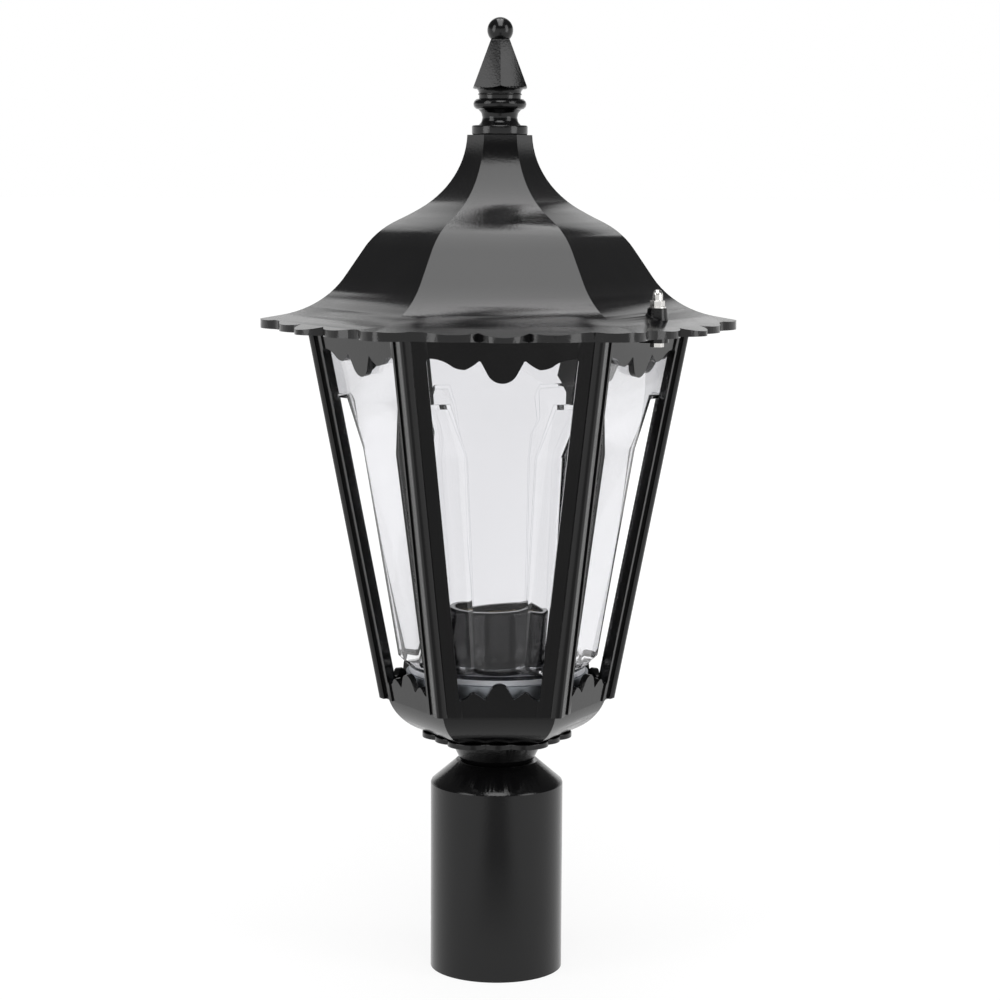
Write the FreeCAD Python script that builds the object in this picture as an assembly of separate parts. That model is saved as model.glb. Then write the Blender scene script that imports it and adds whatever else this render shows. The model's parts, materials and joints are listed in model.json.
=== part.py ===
import FreeCAD, Part
import math
import os

V = FreeCAD.Vector
CENTER = V(0, 0, 0)
Z_AXIS = V(0, 0, 1)

# ---------------------------------------------------------------------------
# Driving dimensions, in millimetres. Z is up. The origin is the centre of the
# collar's lower end, so z = 0 is where the lantern stands on its own. A flat
# side of the cage looks along -Y, and corners lie on +X and -X.
# ---------------------------------------------------------------------------

# Post collar
post_radius = 30.0
post_play = 1.0                 # all round the post
collar_wall = 4.0
collar_height = 100.3           # top of the straight side
collar_edge = 0.6               # chamfer between the side and the shoulder, along each of them
shoulder_rise = 11.5
crown_radius = 21.6             # flat top of the shoulder
crown_thickness = 5.0
crown_wall = 3.0                # least wall of the shoulder, at its top
socket_end = 6.3                # the socket stops this far below the straight side's top
grub_height = 25.0
grub_radius = 3.0
grub_play = 0.02
grub_gap = 0.2                  # each end stays this far inside the wall
grub_recess_radius = 1.5
grub_recess_depth = 2.2

# Neck with its scalloped plate
neck_height = 12.5
neck_step = 2.3                 # its foot is this much inside the crown's edge
neck_spread = 6.0               # its top is this much wider than its foot
neck_wall = 3.5
plate_thickness = 3.0
plate_apothem = 34.2
plate_scallop = 2.2             # how far each scallop stands out
plate_scallops = 3              # scallops on each side

# Bowl
bowl_height = 17.7
bowl_arc_radius = 25.0
bowl_arc_lift = 6.0             # the arc's centre above the bowl's rim
bowl_set_in = 4.26              # the bowl's rim inside the cage's foot
bowl_wall = 3.0
pillar_radius = 4.0
pillar_set_out = 7.0            # pillars outside the lampholder's side
lug_radius = 4.2
lug_set_out = 4.0               # lugs outside the ledge's inner edge

# Threaded tube, its nuts and washers
tube_radius = 5.0
tube_bore = 3.6
tube_nut_flat = 14.0
tube_nut_height = 4.0
tube_washer_radius = 10.0
tube_washer_thickness = 1.5
tube_stand_out = 2.2            # thread that shows past each nut
tube_play = 0.2

# Cage
cage_height = 196.0
cage_foot_radius = 62.5         # to the corner, at the foot
cage_top_radius = 100.1         # to the corner, at the top
reed_width = 5.0                # raised strip beside each corner
reed_height = 1.7
reed_edge = 0.5
arris_width = 0.6               # flat on each side of the corner
cage_wall = 3.3
stile_width = 11.6              # from a corner to the edge of the window
bead_width = 1.8
bead_height = 0.8
ledge_thickness = 3.0
ledge_bearing = 10.0            # width of ledge under the mounting plate

# Windows: distances from a side's middle, drops from the window's head, rises from its sill
window_head_margin = 10.7       # below the cage's top
window_sill = 8.7               # above the cage's foot
window_round = 1.4              # rounding of the corners
cusp_round = 0.8
valance_cusp_at = 11.1
valance_cusp_drop = 0.7
valance_lobe_at = 18.4
valance_lobe_drop = 5.5
valance_tip_drop = 12.3
sill_cusp_at = 7.3
sill_cusp_rise = 0.1
sill_lobe_at = 12.8
sill_lobe_rise = 4.0
sill_tip_rise = 8.4

# Ears and closure hardware
closure_reach = 4.3             # bolt axis outside the cage's side
closure_angle = -30.0           # the bolt at the right; the other is opposite
ear_radius = 6.0
ear_thickness = 4.6
ear_root = 1.0                  # the ear starts this far outside the wall's inner face
bolt_radius = 1.95
bolt_play = 0.2
bolt_head_flat = 6.2
bolt_head_height = 2.2
bolt_engagement = 5.5           # thread inside the cap nut
boss_top_radius = 5.0
boss_foot_radius = 6.2
boss_height = 12.8              # above the ear
cap_nut_flat = 6.6
cap_nut_hex = 3.0
cap_nut_dome = 2.7
cap_nut_height = 8.6
cap_nut_depth = 6.8
cap_nut_play = 0.06
washer_radius = 4.3
washer_thickness = 0.8

# Clear insert
insert_gap = 0.6                # between insert and cage
insert_wall = 2.5
insert_floor = 2.5
insert_bevel = 5.0
insert_flange = 3.4
insert_flange_thickness = 2.2
insert_chamfer_inset = 0.8      # the corner faces lie this much nearer the axis than the sides
insert_kink_drop = 61.0         # below the cage's top: here the corner faces begin to narrow
insert_stop_drop = 36.0         # and here they end under a shoulder
insert_stop_depth = 8.3         # depth of the corner faces there
insert_shoulder_fall = 1.2      # slope of the shoulder, from the corner face to the corner

# Mounting plate under the insert, and the insert's seal
dish_gap = 1.6                  # between the plate's edge and the cage
dish_height = 12.0
dish_thickness = 1.2
seal_width = 3.0
seal_thickness = 3.0

# Lampholder and its leads
holder_radius = 20.5
holder_height = 35.0
holder_bore = 15.0
holder_floor = 9.0
holder_lip = 1.2
holder_play = 0.6
shell_radius = 13.9
shell_wall = 0.6
shell_height = 20.0
shell_lip = 6.9                 # width of the screw shell's base ring
insulator_thickness = 3.0
insulator_play = 0.1
contact_radius = 4.0
contact_height = 3.5
lead_radius = 1.1
lead_play = 0.3
lead_bend = 6.0
lead_entry = 3.5                # depth of each lead in the holder and in the terminal block

# Screws and terminals
small_screw_radius = 1.5
small_screw_play = 0.1
small_head_radius = 2.8
small_head_height = 1.8
small_head_play = 0.3
slot_width = 0.8
slot_depth = 0.8
screw_end_play = 1.0            # free depth past a screw's end
plate_screw_length = 12.0
cage_screw_length = 9.0
holder_screw_spacing = 9.5
holder_screw_grip = 6.0         # length below the holder
terminal_length = 30.0
terminal_depth = 13.0
terminal_height = 11.0
terminal_offset = 19.0
terminal_poles = 3
terminal_hole_radius = 1.8
terminal_hole_height = 4.0
terminal_screw_radius = 1.6
terminal_screw_foot = 5.5
terminal_screw_sink = 0.5
earth_offset = 19.0

# Roof: outline of a side, as tangent arcs from the neck down; slopes are in degrees below level
roof_height = 99.3              # above the cage
roof_neck_apothem = 14.5
roof_neck_lift = 1.6            # the outline is upright this far above the roof's top
roof_wall = 3.0
roof_cap_thickness = 5.0
hollow_radius = 47.4
hollow_end = 34.0
easing_radius = 123.5
easing_end = 28.4
shoulder_radius = 38.5
shoulder_end = 59.3
flare_radius = 42.4
flare_end = 11.5

# Roof rim
rim_overhang = 20.3             # beyond the cage's sides
rim_height = 4.8                # height of the edge where it is not scalloped
rim_drop = 0.4                  # the rim hangs this far below the cage's top
rim_wall = 3.2                  # thickness of the solid border, from the underside inwards
rim_tip_out = 10.9
rim_cusp_out = 2.0
rim_cusp_at = 12.2
rim_lobe_out = 6.0
rim_lobe_at = 25.0
rim_dip_out = 0.3
rim_dip_at = 45.5
rim_ear_out = 1.9
rim_ear_back = 5.0              # middle of the ear, measured from the corner
rim_corner_out = 0.3

# Rib under the roof, and its gasket
rib_width = 2.5
gasket_thickness = 2.0
gasket_margin = 0.8             # between the gasket and the flange's edges

# Finial: heights above the roof
finial_base_radius = 14.4
finial_base_height = 4.9
finial_edge = 0.8               # rounding of the base's edges
finial_neck_radius = 9.0
finial_neck_flare = 2.0         # the neck is this much wider at its ends
finial_disc_radius = 13.7
finial_disc_height = 5.6
finial_disc_z = 15.7
finial_collar_radius = 10.8
finial_ring_height = 1.0
finial_spire_z = 23.9
finial_spire_apothem = 14.1
finial_spire_nick = 1.4         # height by which the corners are cut back underneath
finial_spire_top_z = 48.6
finial_spire_top_apothem = 4.8
finial_ball_radius = 6.65
finial_ball_z = 53.3
stud_radius = 4.0
stud_play = 0.15
stud_depth = 18.0
stud_nut_flat = 13.0
stud_nut_height = 6.5
stud_washer_radius = 8.0
stud_washer_thickness = 1.6
stud_stand_out = 1.5            # thread that shows past the nut
stud_end_play = 1.0

# Working allowances of the construction itself
OVERLAP = 0.5                   # how far shapes that are joined reach into each other
THROUGH = 1.0                   # how far a cutter stands out of what it cuts
CHORD_TURN = 30.0               # degrees between the chords of a turned arc
MITRED = 1                      # corner style of a swept pipe

# ---------------------------------------------------------------------------
# Heights and sizes that follow
# ---------------------------------------------------------------------------
COS30 = math.cos(math.radians(30))
TAN30 = math.tan(math.radians(30))

socket_radius = post_radius + post_play
collar_radius = socket_radius + collar_wall
socket_depth = collar_height - socket_end
crown_z = collar_height + shoulder_rise
plate_z = crown_z + neck_height
bowl_z = plate_z + plate_thickness
bowl_floor_z = bowl_z + bowl_wall
cage_foot_z = bowl_z + bowl_height
cage_top_z = cage_foot_z + cage_height
ledge_top_z = cage_foot_z + ledge_thickness
dish_top_z = ledge_top_z + dish_height
insert_z = dish_top_z + seal_thickness
flange_top_z = cage_top_z + insert_flange_thickness
gasket_top_z = flange_top_z + gasket_thickness
holder_z = dish_top_z
window_head = cage_height - window_head_margin
holder_floor_z = holder_z + holder_floor
bolt_head_z = cage_top_z - ear_thickness
boss_top_z = cage_top_z + boss_height
washer_top_z = boss_top_z + washer_thickness
rim_z = cage_top_z - rim_drop
roof_top_z = cage_top_z + roof_height
roof_ceiling_z = roof_top_z - roof_cap_thickness

panel_inset = reed_height
lining_inset = panel_inset + cage_wall
insert_inset = lining_inset + insert_gap


def cage_corner(z):
    """Distance from the axis to a corner of the cage at height z."""
    share = (z - cage_foot_z) / cage_height
    return cage_foot_radius + share * (cage_top_radius - cage_foot_radius)


def cage_apothem(z, inset=0.0):
    """Distance from the axis to a side of the cage at height z, less an inset."""
    return cage_corner(z) * COS30 - inset


bowl_arc_center_z = cage_foot_z + bowl_arc_lift
bowl_arc_reach = math.sqrt(bowl_arc_radius ** 2 - bowl_arc_lift ** 2)
bowl_arc_center = cage_apothem(cage_foot_z, bowl_set_in) - bowl_arc_reach
dish_radius = cage_apothem(ledge_top_z, lining_inset) - dish_gap
ledge_radius = dish_radius - ledge_bearing
seal_outer = cage_apothem(insert_z, insert_inset) - insert_bevel
flange_outer = cage_apothem(cage_top_z, insert_inset - insert_flange)
flange_inner = cage_apothem(cage_top_z, insert_inset + insert_wall)
gasket_outer = flange_outer - gasket_margin
gasket_inner = flange_inner + gasket_margin
rib_outer = (gasket_outer + gasket_inner + rib_width) / 2
closure_radius = cage_apothem(cage_top_z) + closure_reach
rim_apothem = cage_apothem(cage_top_z) + rim_overhang

# ---------------------------------------------------------------------------
# Helpers
# ---------------------------------------------------------------------------


def turned(shape, degrees):
    """A copy of the shape turned about the lantern's axis."""
    copy = shape.copy()
    copy.rotate(CENTER, Z_AXIS, degrees)
    return copy


def around(shape, count=6, start=0.0):
    """Copies of the shape, evenly spaced about the axis."""
    return [turned(shape, start + 360.0 / count * i) for i in range(count)]


def polar(radius, degrees, z=0.0):
    angle = math.radians(degrees)
    return V(radius * math.cos(angle), radius * math.sin(angle), z)


def rod(radius, z0, z1, at=CENTER):
    return Part.makeCylinder(radius, z1 - z0, V(at.x, at.y, z0))


def radial_rod(radius, r0, r1, z, degrees):
    """A level rod that points away from the axis."""
    return Part.makeCylinder(radius, r1 - r0, polar(r0, degrees, z), polar(1.0, degrees))


def tube(radius, bore, z0, z1, at=CENTER):
    return rod(radius, z0, z1, at).cut(rod(bore, z0 - THROUGH, z1 + THROUGH, at))


def face_of(points):
    return Part.Face(Part.makePolygon(points + [points[0]]))


def face_within(edges):
    return Part.Face(Part.Wire(Part.__sortEdges__(edges)))


def hexagon(apothem, z, first=0.0, at=CENTER):
    """Corner points of a level hexagon; the first corner lies at that angle."""
    return [polar(apothem / COS30, first + 60 * i, z) + V(at.x, at.y, 0) for i in range(6)]


def hex_rod(apothem, z0, z1, at=CENTER):
    """An upright hexagonal bar, such as the body of a nut."""
    return face_of(hexagon(apothem, z0, 0.0, at)).extrude(V(0, 0, z1 - z0))


def frustum(lower, upper):
    """The solid between two level polygons with as many corners."""
    faces = [face_of(lower), face_of(upper)]
    for i in range(len(lower)):
        j = (i + 1) % len(lower)
        faces.append(face_of([lower[i], lower[j], upper[j], upper[i]]))
    return Part.makeSolid(Part.makeShell(faces))


def revolved(steps):
    """A turned solid from its outline. A step is a (radius, z) point, or a pair of such points:
    an arc through the first one to the second, built as short chords."""
    points = [V(steps[0][0], 0, steps[0][1])]
    for step in steps[1:]:
        if isinstance(step[0], tuple):
            middle, end = [V(r, 0, z) for r, z in step]
            edge = Part.Arc(points[-1], middle, end).toShape()
            chords = math.ceil(math.degrees(edge.Length / edge.Curve.Radius) / CHORD_TURN)
            points += edge.discretize(chords + 1)[1:]
        else:
            points.append(V(step[0], 0, step[1]))
    return face_of(points).revolve(CENTER, Z_AXIS, 360)


def fused(shapes):
    return shapes[0].multiFuse(shapes[1:]).removeSplitter()


def mirrored(points):
    """The same points on the other side of the plane y = 0."""
    return tuple(V(point.x, -point.y, point.z) for point in points)


def arcs(triples):
    return [Part.Arc(*triple).toShape() for triple in triples]


def rounded(prism, radius, places):
    """Rounds the straight edges of a prism that run through the given places."""
    picked = []
    for edge in prism.Edges:
        if len(edge.Vertexes) == 2 and any(edge.distToShape(Part.Vertex(p))[0] < 1e-4 for p in places):
            if isinstance(edge.Curve, Part.Line) and edge.Length > radius:
                picked.append(edge)
    return prism.makeFillet(radius, picked)


def six_sided(edges):
    """The solid with the same outline on each of its six sides, where three prisms cross. The
    outline runs in the XZ plane from one end's height to the other's."""
    half_length = 2 * max(edge.BoundBox.XMax for edge in edges)
    mirror_edges = [edge.mirror(CENTER, V(1, 0, 0)) for edge in edges]
    ends = [edges[0].Vertexes[0].Point, edges[-1].Vertexes[-1].Point]
    joins = [Part.makeLine(point, V(-point.x, point.y, point.z)) for point in ends]
    prism = face_within(edges + mirror_edges + joins).extrude(V(0, 2 * half_length, 0))
    prism.translate(V(0, -half_length, 0))
    return turned(prism, 30).common(turned(prism, 90)).common(turned(prism, 150))


def save(name, solids):
    """Writes one node, as one solid or as a group of separate solids."""
    shape = solids[0] if len(solids) == 1 else Part.makeCompound(solids)
    shape.exportStep("parts/" + name + ".step")


# ---------------------------------------------------------------------------
# Places that several pieces share
# ---------------------------------------------------------------------------
GRUB_ANGLES = (0.0, 180.0)
LUG_PLACES = [polar(ledge_radius + lug_set_out, 120 * i) for i in range(3)]
PILLAR_PLACES = [V(side * (holder_radius + pillar_set_out), 0, 0) for side in (-1, 1)]
CLOSURE_PLACES = [polar(closure_radius, closure_angle + 180 * i) for i in range(2)]
HOLDER_SCREW_PLACES = [V(0, side * holder_screw_spacing, 0) for side in (-1, 1)]
EARTH_PLACE = V(0, -earth_offset, 0)
terminal_pitch = terminal_length / terminal_poles
LEAD_PLACES = [V(side * terminal_pitch, 0, 0) for side in (-1, 1)]

# ---------------------------------------------------------------------------
# Collar, neck and bowl
# ---------------------------------------------------------------------------


def post_collar():
    ceiling = crown_z - crown_thickness
    slope = V(crown_radius - collar_radius, 0, shoulder_rise).normalize() * collar_edge
    body = revolved([(0, 0), (collar_radius, 0), (collar_radius, collar_height - collar_edge),
                     (collar_radius + slope.x, collar_height + slope.z), (crown_radius, crown_z),
                     (0, crown_z)])
    hollow = revolved([(0, -THROUGH), (socket_radius, -THROUGH), (socket_radius, socket_depth),
                       (crown_radius - crown_wall, ceiling), (0, ceiling)])
    body = body.cut(hollow).cut(rod(tube_radius + tube_play, 0, crown_z + THROUGH))
    for degrees in GRUB_ANGLES:
        hole = radial_rod(grub_radius + grub_play, 0, collar_radius + THROUGH, grub_height, degrees)
        body = body.cut(hole)
    return body


def collar_grub_screws():
    inner = socket_radius + grub_gap
    outer = collar_radius - grub_gap
    screws = []
    recess_end = outer - grub_recess_depth
    for degrees in GRUB_ANGLES:
        screw = radial_rod(grub_radius, inner, outer, grub_height, degrees)
        recess = radial_rod(grub_recess_radius, recess_end, collar_radius, grub_height, degrees)
        screws.append(screw.cut(recess))
    return screws


def scalloped_side():
    """Scallops along the plate's side that looks along +X."""
    half_side = plate_apothem * TAN30
    step = 2 * half_side / plate_scallops
    edges = []
    for i in range(plate_scallops):
        start = -half_side + i * step
        points = [V(plate_apothem, start, 0), V(plate_apothem + plate_scallop, start + step / 2, 0),
                  V(plate_apothem, start + step, 0)]
        edges.append(Part.Arc(*points).toShape())
    return edges


def neck_plate():
    foot = crown_radius - neck_step
    top = foot + neck_spread
    edges = []
    for edge in scalloped_side():
        edges += around(edge, 6, 30)
    plate = face_within(edges).extrude(V(0, 0, plate_thickness))
    plate.translate(V(0, 0, plate_z))
    cone = revolved([(0, crown_z), (foot, crown_z), (top, plate_z), (top, plate_z + OVERLAP),
                     (0, plate_z + OVERLAP)])
    hollow = revolved([(0, crown_z - THROUGH), (foot - neck_wall, crown_z - THROUGH),
                       (top - neck_wall, plate_z - OVERLAP), (0, plate_z - OVERLAP)])
    return fused([plate, cone]).cut(hollow).cut(rod(tube_radius + tube_play, crown_z, bowl_z + THROUGH))


def bowl_bell(radius, floor_z):
    """The bowl's form from a floor to the rim, with an arc of the given radius on each side."""
    low = math.asin((bowl_arc_center_z - floor_z) / radius)
    high = math.asin((bowl_arc_center_z - cage_foot_z) / radius)

    def point(angle):
        out, down = radius * math.cos(angle), radius * math.sin(angle)
        return V(bowl_arc_center + out, 0, bowl_arc_center_z - down)

    return six_sided([Part.Arc(point(low), point((low + high) / 2), point(high)).toShape()])


def base_bowl():
    outer = bowl_bell(bowl_arc_radius, bowl_z)
    inner = bowl_bell(bowl_arc_radius - bowl_wall, bowl_floor_z)
    root = bowl_floor_z - OVERLAP
    pillar_top = dish_top_z - dish_thickness
    pillars = [rod(pillar_radius, root, pillar_top, at) for at in PILLAR_PLACES]
    lugs = [rod(lug_radius, root, cage_foot_z, at).common(outer) for at in LUG_PLACES]
    body = fused([outer.cut(inner)] + lugs + pillars)
    body = body.cut(rod(tube_radius + tube_play, bowl_z - THROUGH, bowl_floor_z + THROUGH))
    for at in PILLAR_PLACES:
        hole_end = dish_top_z - plate_screw_length - screw_end_play
        body = body.cut(rod(small_screw_radius, hole_end, dish_top_z, at))
    for at in LUG_PLACES:
        hole_end = ledge_top_z - cage_screw_length - screw_end_play
        body = body.cut(rod(small_screw_radius, hole_end, cage_foot_z + THROUGH, at))
    return body.cut(rod(small_screw_radius, bowl_z - THROUGH, bowl_floor_z + THROUGH, EARTH_PLACE))


# ---------------------------------------------------------------------------
# Threaded tube that clamps collar, neck and bowl together
# ---------------------------------------------------------------------------
lower_washer_z = crown_z - crown_thickness - tube_washer_thickness
lower_nut_z = lower_washer_z - tube_nut_height
upper_nut_z = bowl_floor_z + tube_washer_thickness


def threaded_tube():
    return tube(tube_radius, tube_bore, lower_nut_z - tube_stand_out,
                upper_nut_z + tube_nut_height + tube_stand_out)


def tube_lock_nuts():
    nuts = []
    for z in (lower_nut_z, upper_nut_z):
        nut = hex_rod(tube_nut_flat / 2, z, z + tube_nut_height)
        nuts.append(nut.cut(rod(tube_radius, z - THROUGH, z + tube_nut_height + THROUGH)))
    return nuts


def tube_washers():
    return [tube(tube_washer_radius, tube_radius + tube_play, z, z + tube_washer_thickness)
            for z in (lower_washer_z, bowl_floor_z)]


# ---------------------------------------------------------------------------
# Cage
# ---------------------------------------------------------------------------
CORNER_RUN = V(cage_top_radius - cage_foot_radius, 0, cage_height)


def cage_frustum(inset, z0, z1):
    return frustum(hexagon(cage_apothem(z0, inset), z0), hexagon(cage_apothem(z1, inset), z1))


def beside_corner(away, down):
    """A point at the foot of the corner at angle 0: that far along the side to its left, and that
    far down into it."""
    return V(cage_foot_radius, 0, cage_foot_z) + polar(away, 120) - polar(down, 30)


def reeds():
    """The raised strips on both sides of each corner, with a narrow flat along the arris."""
    depth = reed_height + OVERLAP
    left = [beside_corner(arris_width, 0), beside_corner(reed_width - reed_edge, 0),
            beside_corner(reed_width, reed_edge), beside_corner(reed_width, depth)]
    right = mirrored(left)
    outline = left + [beside_corner(depth * TAN30, depth), *right[::-1]]
    return around(face_of(outline).extrude(CORNER_RUN))


def beads():
    """The low beads along both edges of each window."""
    low = reed_height + OVERLAP
    high = reed_height - bead_height
    inner = stile_width - bead_width
    outer = stile_width + THROUGH
    section = face_of([beside_corner(inner, low), beside_corner(outer, low), beside_corner(outer, high),
                       beside_corner(inner, high)])
    left = section.extrude(CORNER_RUN)
    return around(left) + around(left.mirror(CENTER, V(0, 1, 0)))


def scallops(place, half_width, edge, cusp_at, cusp, lobe_at, lobe, tip):
    """Half of a window's scalloped end, as arcs from its corner to its middle: a long wave down to
    the lobe, a short rise to the cusp, and a rounded drop. edge, cusp, lobe and tip are heights."""
    def wave(share, fall):
        return place(lobe_at + share * (half_width - lobe_at), edge + fall * (lobe - edge))

    def drop(share, fall):
        return place(share * cusp_at, cusp + fall * (tip - cusp))

    low = place(lobe_at, lobe)
    point = place(cusp_at, cusp)
    rise = place((lobe_at + cusp_at) / 2, lobe + 0.4 * (cusp - lobe))
    return [(place(half_width, edge), wave(0.61, 0.17), wave(0.32, 0.74)),
            (wave(0.32, 0.74), wave(0.16, 0.94), low),
            (low, rise, point),
            (point, drop(0.84, 0.28), drop(0.66, 0.60)),
            (drop(0.66, 0.60), drop(0.34, 0.92), place(0, tip))]


def window_cutter():
    """Window opening of the side at angle 0, cut square through the leaning wall."""
    lean = math.atan((cage_top_radius - cage_foot_radius) * COS30 / cage_height)
    reach = 4 * lining_inset

    def half_width(height):
        return cage_corner(cage_foot_z + height) / 2 - stile_width

    def place(u, height):
        return V(0, u, height / math.cos(lean))

    head = scallops(place, half_width(window_head), window_head, valance_cusp_at,
                    window_head - valance_cusp_drop, valance_lobe_at, window_head - valance_lobe_drop,
                    window_head - valance_tip_drop)
    sill = scallops(place, half_width(window_sill), window_sill, sill_cusp_at,
                    window_sill + sill_cusp_rise, sill_lobe_at, window_sill + sill_lobe_rise,
                    window_sill + sill_tip_rise)
    edges = []
    for half in (head, sill):
        edges += arcs(half) + arcs([mirrored(triple) for triple in half])
    corners = []
    for height in (window_head, window_sill):
        corner = place(half_width(height), height)
        corners += [corner, *mirrored([corner])]
    for i in range(2):
        edges.append(Part.makeLine(corners[i], corners[i + 2]))
    cusps = []
    for at, height in ((valance_cusp_at, window_head - valance_cusp_drop),
                       (sill_cusp_at, window_sill + sill_cusp_rise)):
        cusp = place(at, height)
        cusps += [cusp, *mirrored([cusp])]
    cutter = face_within(edges).extrude(V(reach, 0, 0))
    cutter = rounded(cutter, window_round, corners)
    cutter = rounded(cutter, cusp_round, cusps)
    cutter.translate(V(-reach / 2, 0, 0))
    cutter.rotate(CENTER, V(0, 1, 0), math.degrees(lean))
    cutter.translate(V(cage_apothem(cage_foot_z), 0, cage_foot_z))
    return cutter


def ear(at):
    """A lug outside the cage's side that carries a roof bolt."""
    inner = V(at).normalize() * (cage_apothem(cage_top_z, lining_inset) + ear_root)
    side = V(-at.y, at.x, 0).normalize() * ear_radius
    tab = face_of([inner + side, inner - side, at - side, at + side])
    tab.translate(V(0, 0, bolt_head_z))
    return fused([tab.extrude(V(0, 0, ear_thickness)), rod(ear_radius, bolt_head_z, cage_top_z, at)])


def cage():
    body = fused([cage_frustum(panel_inset, cage_foot_z, cage_top_z)] + reeds() + beads())
    for cutter in around(window_cutter(), 6, 30):
        body = body.cut(cutter)
    body = body.cut(cage_frustum(lining_inset, cage_foot_z, cage_top_z))
    ledge = cage_frustum(lining_inset - OVERLAP, cage_foot_z, ledge_top_z)
    ledge = ledge.cut(rod(ledge_radius, cage_foot_z - THROUGH, ledge_top_z + THROUGH))
    body = fused([body, ledge] + [ear(at) for at in CLOSURE_PLACES])
    for at in LUG_PLACES:
        hole = rod(small_screw_radius + small_screw_play, cage_foot_z - THROUGH, ledge_top_z + THROUGH, at)
        body = body.cut(hole)
    for at in CLOSURE_PLACES:
        body = body.cut(rod(bolt_radius + bolt_play, bolt_head_z - THROUGH, cage_top_z + THROUGH, at))
    return body


# ---------------------------------------------------------------------------
# Insert, mounting plate and seals
# ---------------------------------------------------------------------------


def insert_shape(inset, z0, z1, stop_lift=0.0):
    """Six-sided taper whose corners are cut into six more faces. They narrow above the kink and
    end under a shoulder."""
    kink_z = cage_top_z - insert_kink_drop
    stop_z = cage_top_z - insert_stop_drop + stop_lift
    low_z = z0 - THROUGH
    far = cage_top_radius + insert_stop_depth

    def corner_face(z):
        return cage_apothem(z, inset) - insert_chamfer_inset

    stop_radius = cage_apothem(stop_z, inset) / COS30 - insert_stop_depth
    outline = [V(corner_face(low_z), 0, low_z), V(corner_face(kink_z), 0, kink_z),
               V(stop_radius, 0, stop_z), V(far, 0, stop_z - insert_shoulder_fall), V(far, 0, low_z)]
    cutter = face_of(outline).extrude(V(0, 2 * far, 0))
    cutter.translate(V(0, -far, 0))
    body = cage_frustum(inset, z0, z1)
    for wedge in around(cutter):
        body = body.cut(wedge)
    return body


def clear_insert():
    foot = cage_apothem(insert_z, insert_inset) - insert_bevel
    rise = cage_height / 3      # well above the place where the bevel leaves the sides
    skirt = revolved([(0, insert_z - THROUGH), (foot, insert_z - THROUGH), (foot, insert_z),
                      (foot + rise, insert_z + rise), (0, insert_z + rise)])
    low = insert_shape(insert_inset, insert_z, cage_top_z).common(skirt)
    high = insert_shape(insert_inset, insert_z + rise / 2, cage_top_z)
    floor_z = insert_z + insert_floor
    inner = insert_shape(insert_inset + insert_wall, floor_z, cage_top_z + THROUGH, insert_wall)
    flange = hex_rod(flange_outer, cage_top_z, flange_top_z)
    bore = hex_rod(flange_inner, cage_top_z - THROUGH, flange_top_z + THROUGH)
    body = fused([low, high, flange]).cut(inner).cut(bore)
    return body.cut(rod(holder_radius + holder_play, insert_z - THROUGH, floor_z + THROUGH))


def insert_gasket():
    return tube(seal_outer, seal_outer - seal_width, dish_top_z, insert_z)


def hex_ring(outer, inner, z0, z1):
    return hex_rod(outer, z0, z1).cut(hex_rod(inner, z0 - THROUGH, z1 + THROUGH))


def roof_gasket():
    return hex_ring(gasket_outer, gasket_inner, flange_top_z, gasket_top_z)


def mounting_plate():
    dish = rod(dish_radius, ledge_top_z, dish_top_z)
    dish = dish.cut(rod(dish_radius - dish_thickness, ledge_top_z - THROUGH, dish_top_z - dish_thickness))
    for at in PILLAR_PLACES + HOLDER_SCREW_PLACES:
        dish = dish.cut(rod(small_screw_radius + small_screw_play, ledge_top_z, dish_top_z + THROUGH, at))
    for at in LEAD_PLACES:
        dish = dish.cut(rod(lead_radius + lead_play, ledge_top_z, dish_top_z + THROUGH, at))
    return dish


def small_screw(at, seat_z, length):
    """A slotted screw with a flat head, standing on its seat."""
    head_top = seat_z + small_head_height
    head = rod(small_head_radius, seat_z, head_top, at)
    slot = Part.makeBox(2 * small_head_radius, slot_width, slot_depth + THROUGH,
                        V(at.x - small_head_radius, at.y - slot_width / 2, head_top - slot_depth))
    return fused([head, rod(small_screw_radius, seat_z - length, seat_z, at)]).cut(slot)


def plate_screws():
    return [small_screw(at, dish_top_z, plate_screw_length) for at in PILLAR_PLACES]


def cage_screws():
    return [small_screw(at, ledge_top_z, cage_screw_length) for at in LUG_PLACES]


# ---------------------------------------------------------------------------
# Lampholder, leads and terminals
# ---------------------------------------------------------------------------
holder_screw_seat_z = holder_floor_z - small_head_height - small_head_play


def holder_body():
    top = holder_z + holder_height
    body = revolved([(0, holder_z), (holder_radius, holder_z), (holder_radius, top - holder_lip),
                     (holder_radius - holder_lip, top), (0, top)])
    body = body.cut(rod(holder_bore, holder_floor_z, top + THROUGH))
    for at in HOLDER_SCREW_PLACES:
        body = body.cut(rod(small_screw_radius + small_screw_play, holder_z - THROUGH, top, at))
        body = body.cut(rod(small_head_radius + small_head_play, holder_screw_seat_z, top, at))
    for at in LEAD_PLACES:
        body = body.cut(rod(lead_radius, holder_z - THROUGH, holder_z + lead_entry, at))
    return body


def holder_insulator():
    return tube(holder_bore - insulator_play, small_screw_radius, holder_floor_z,
                holder_floor_z + insulator_thickness)


def holder_screw_shell():
    z = holder_floor_z + insulator_thickness
    shell = tube(shell_radius, shell_radius - shell_wall, z, z + shell_height)
    return fused([shell, tube(shell_radius, shell_radius - shell_lip, z, z + shell_wall)])


def holder_contact():
    z = holder_floor_z + insulator_thickness
    button = rod(contact_radius, z, z + contact_height)
    return fused([button, rod(small_screw_radius - small_screw_play, holder_floor_z, z + OVERLAP)])


def holder_screws():
    length = holder_screw_seat_z - holder_z + holder_screw_grip
    return [small_screw(at, holder_screw_seat_z, length) for at in HOLDER_SCREW_PLACES]


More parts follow.
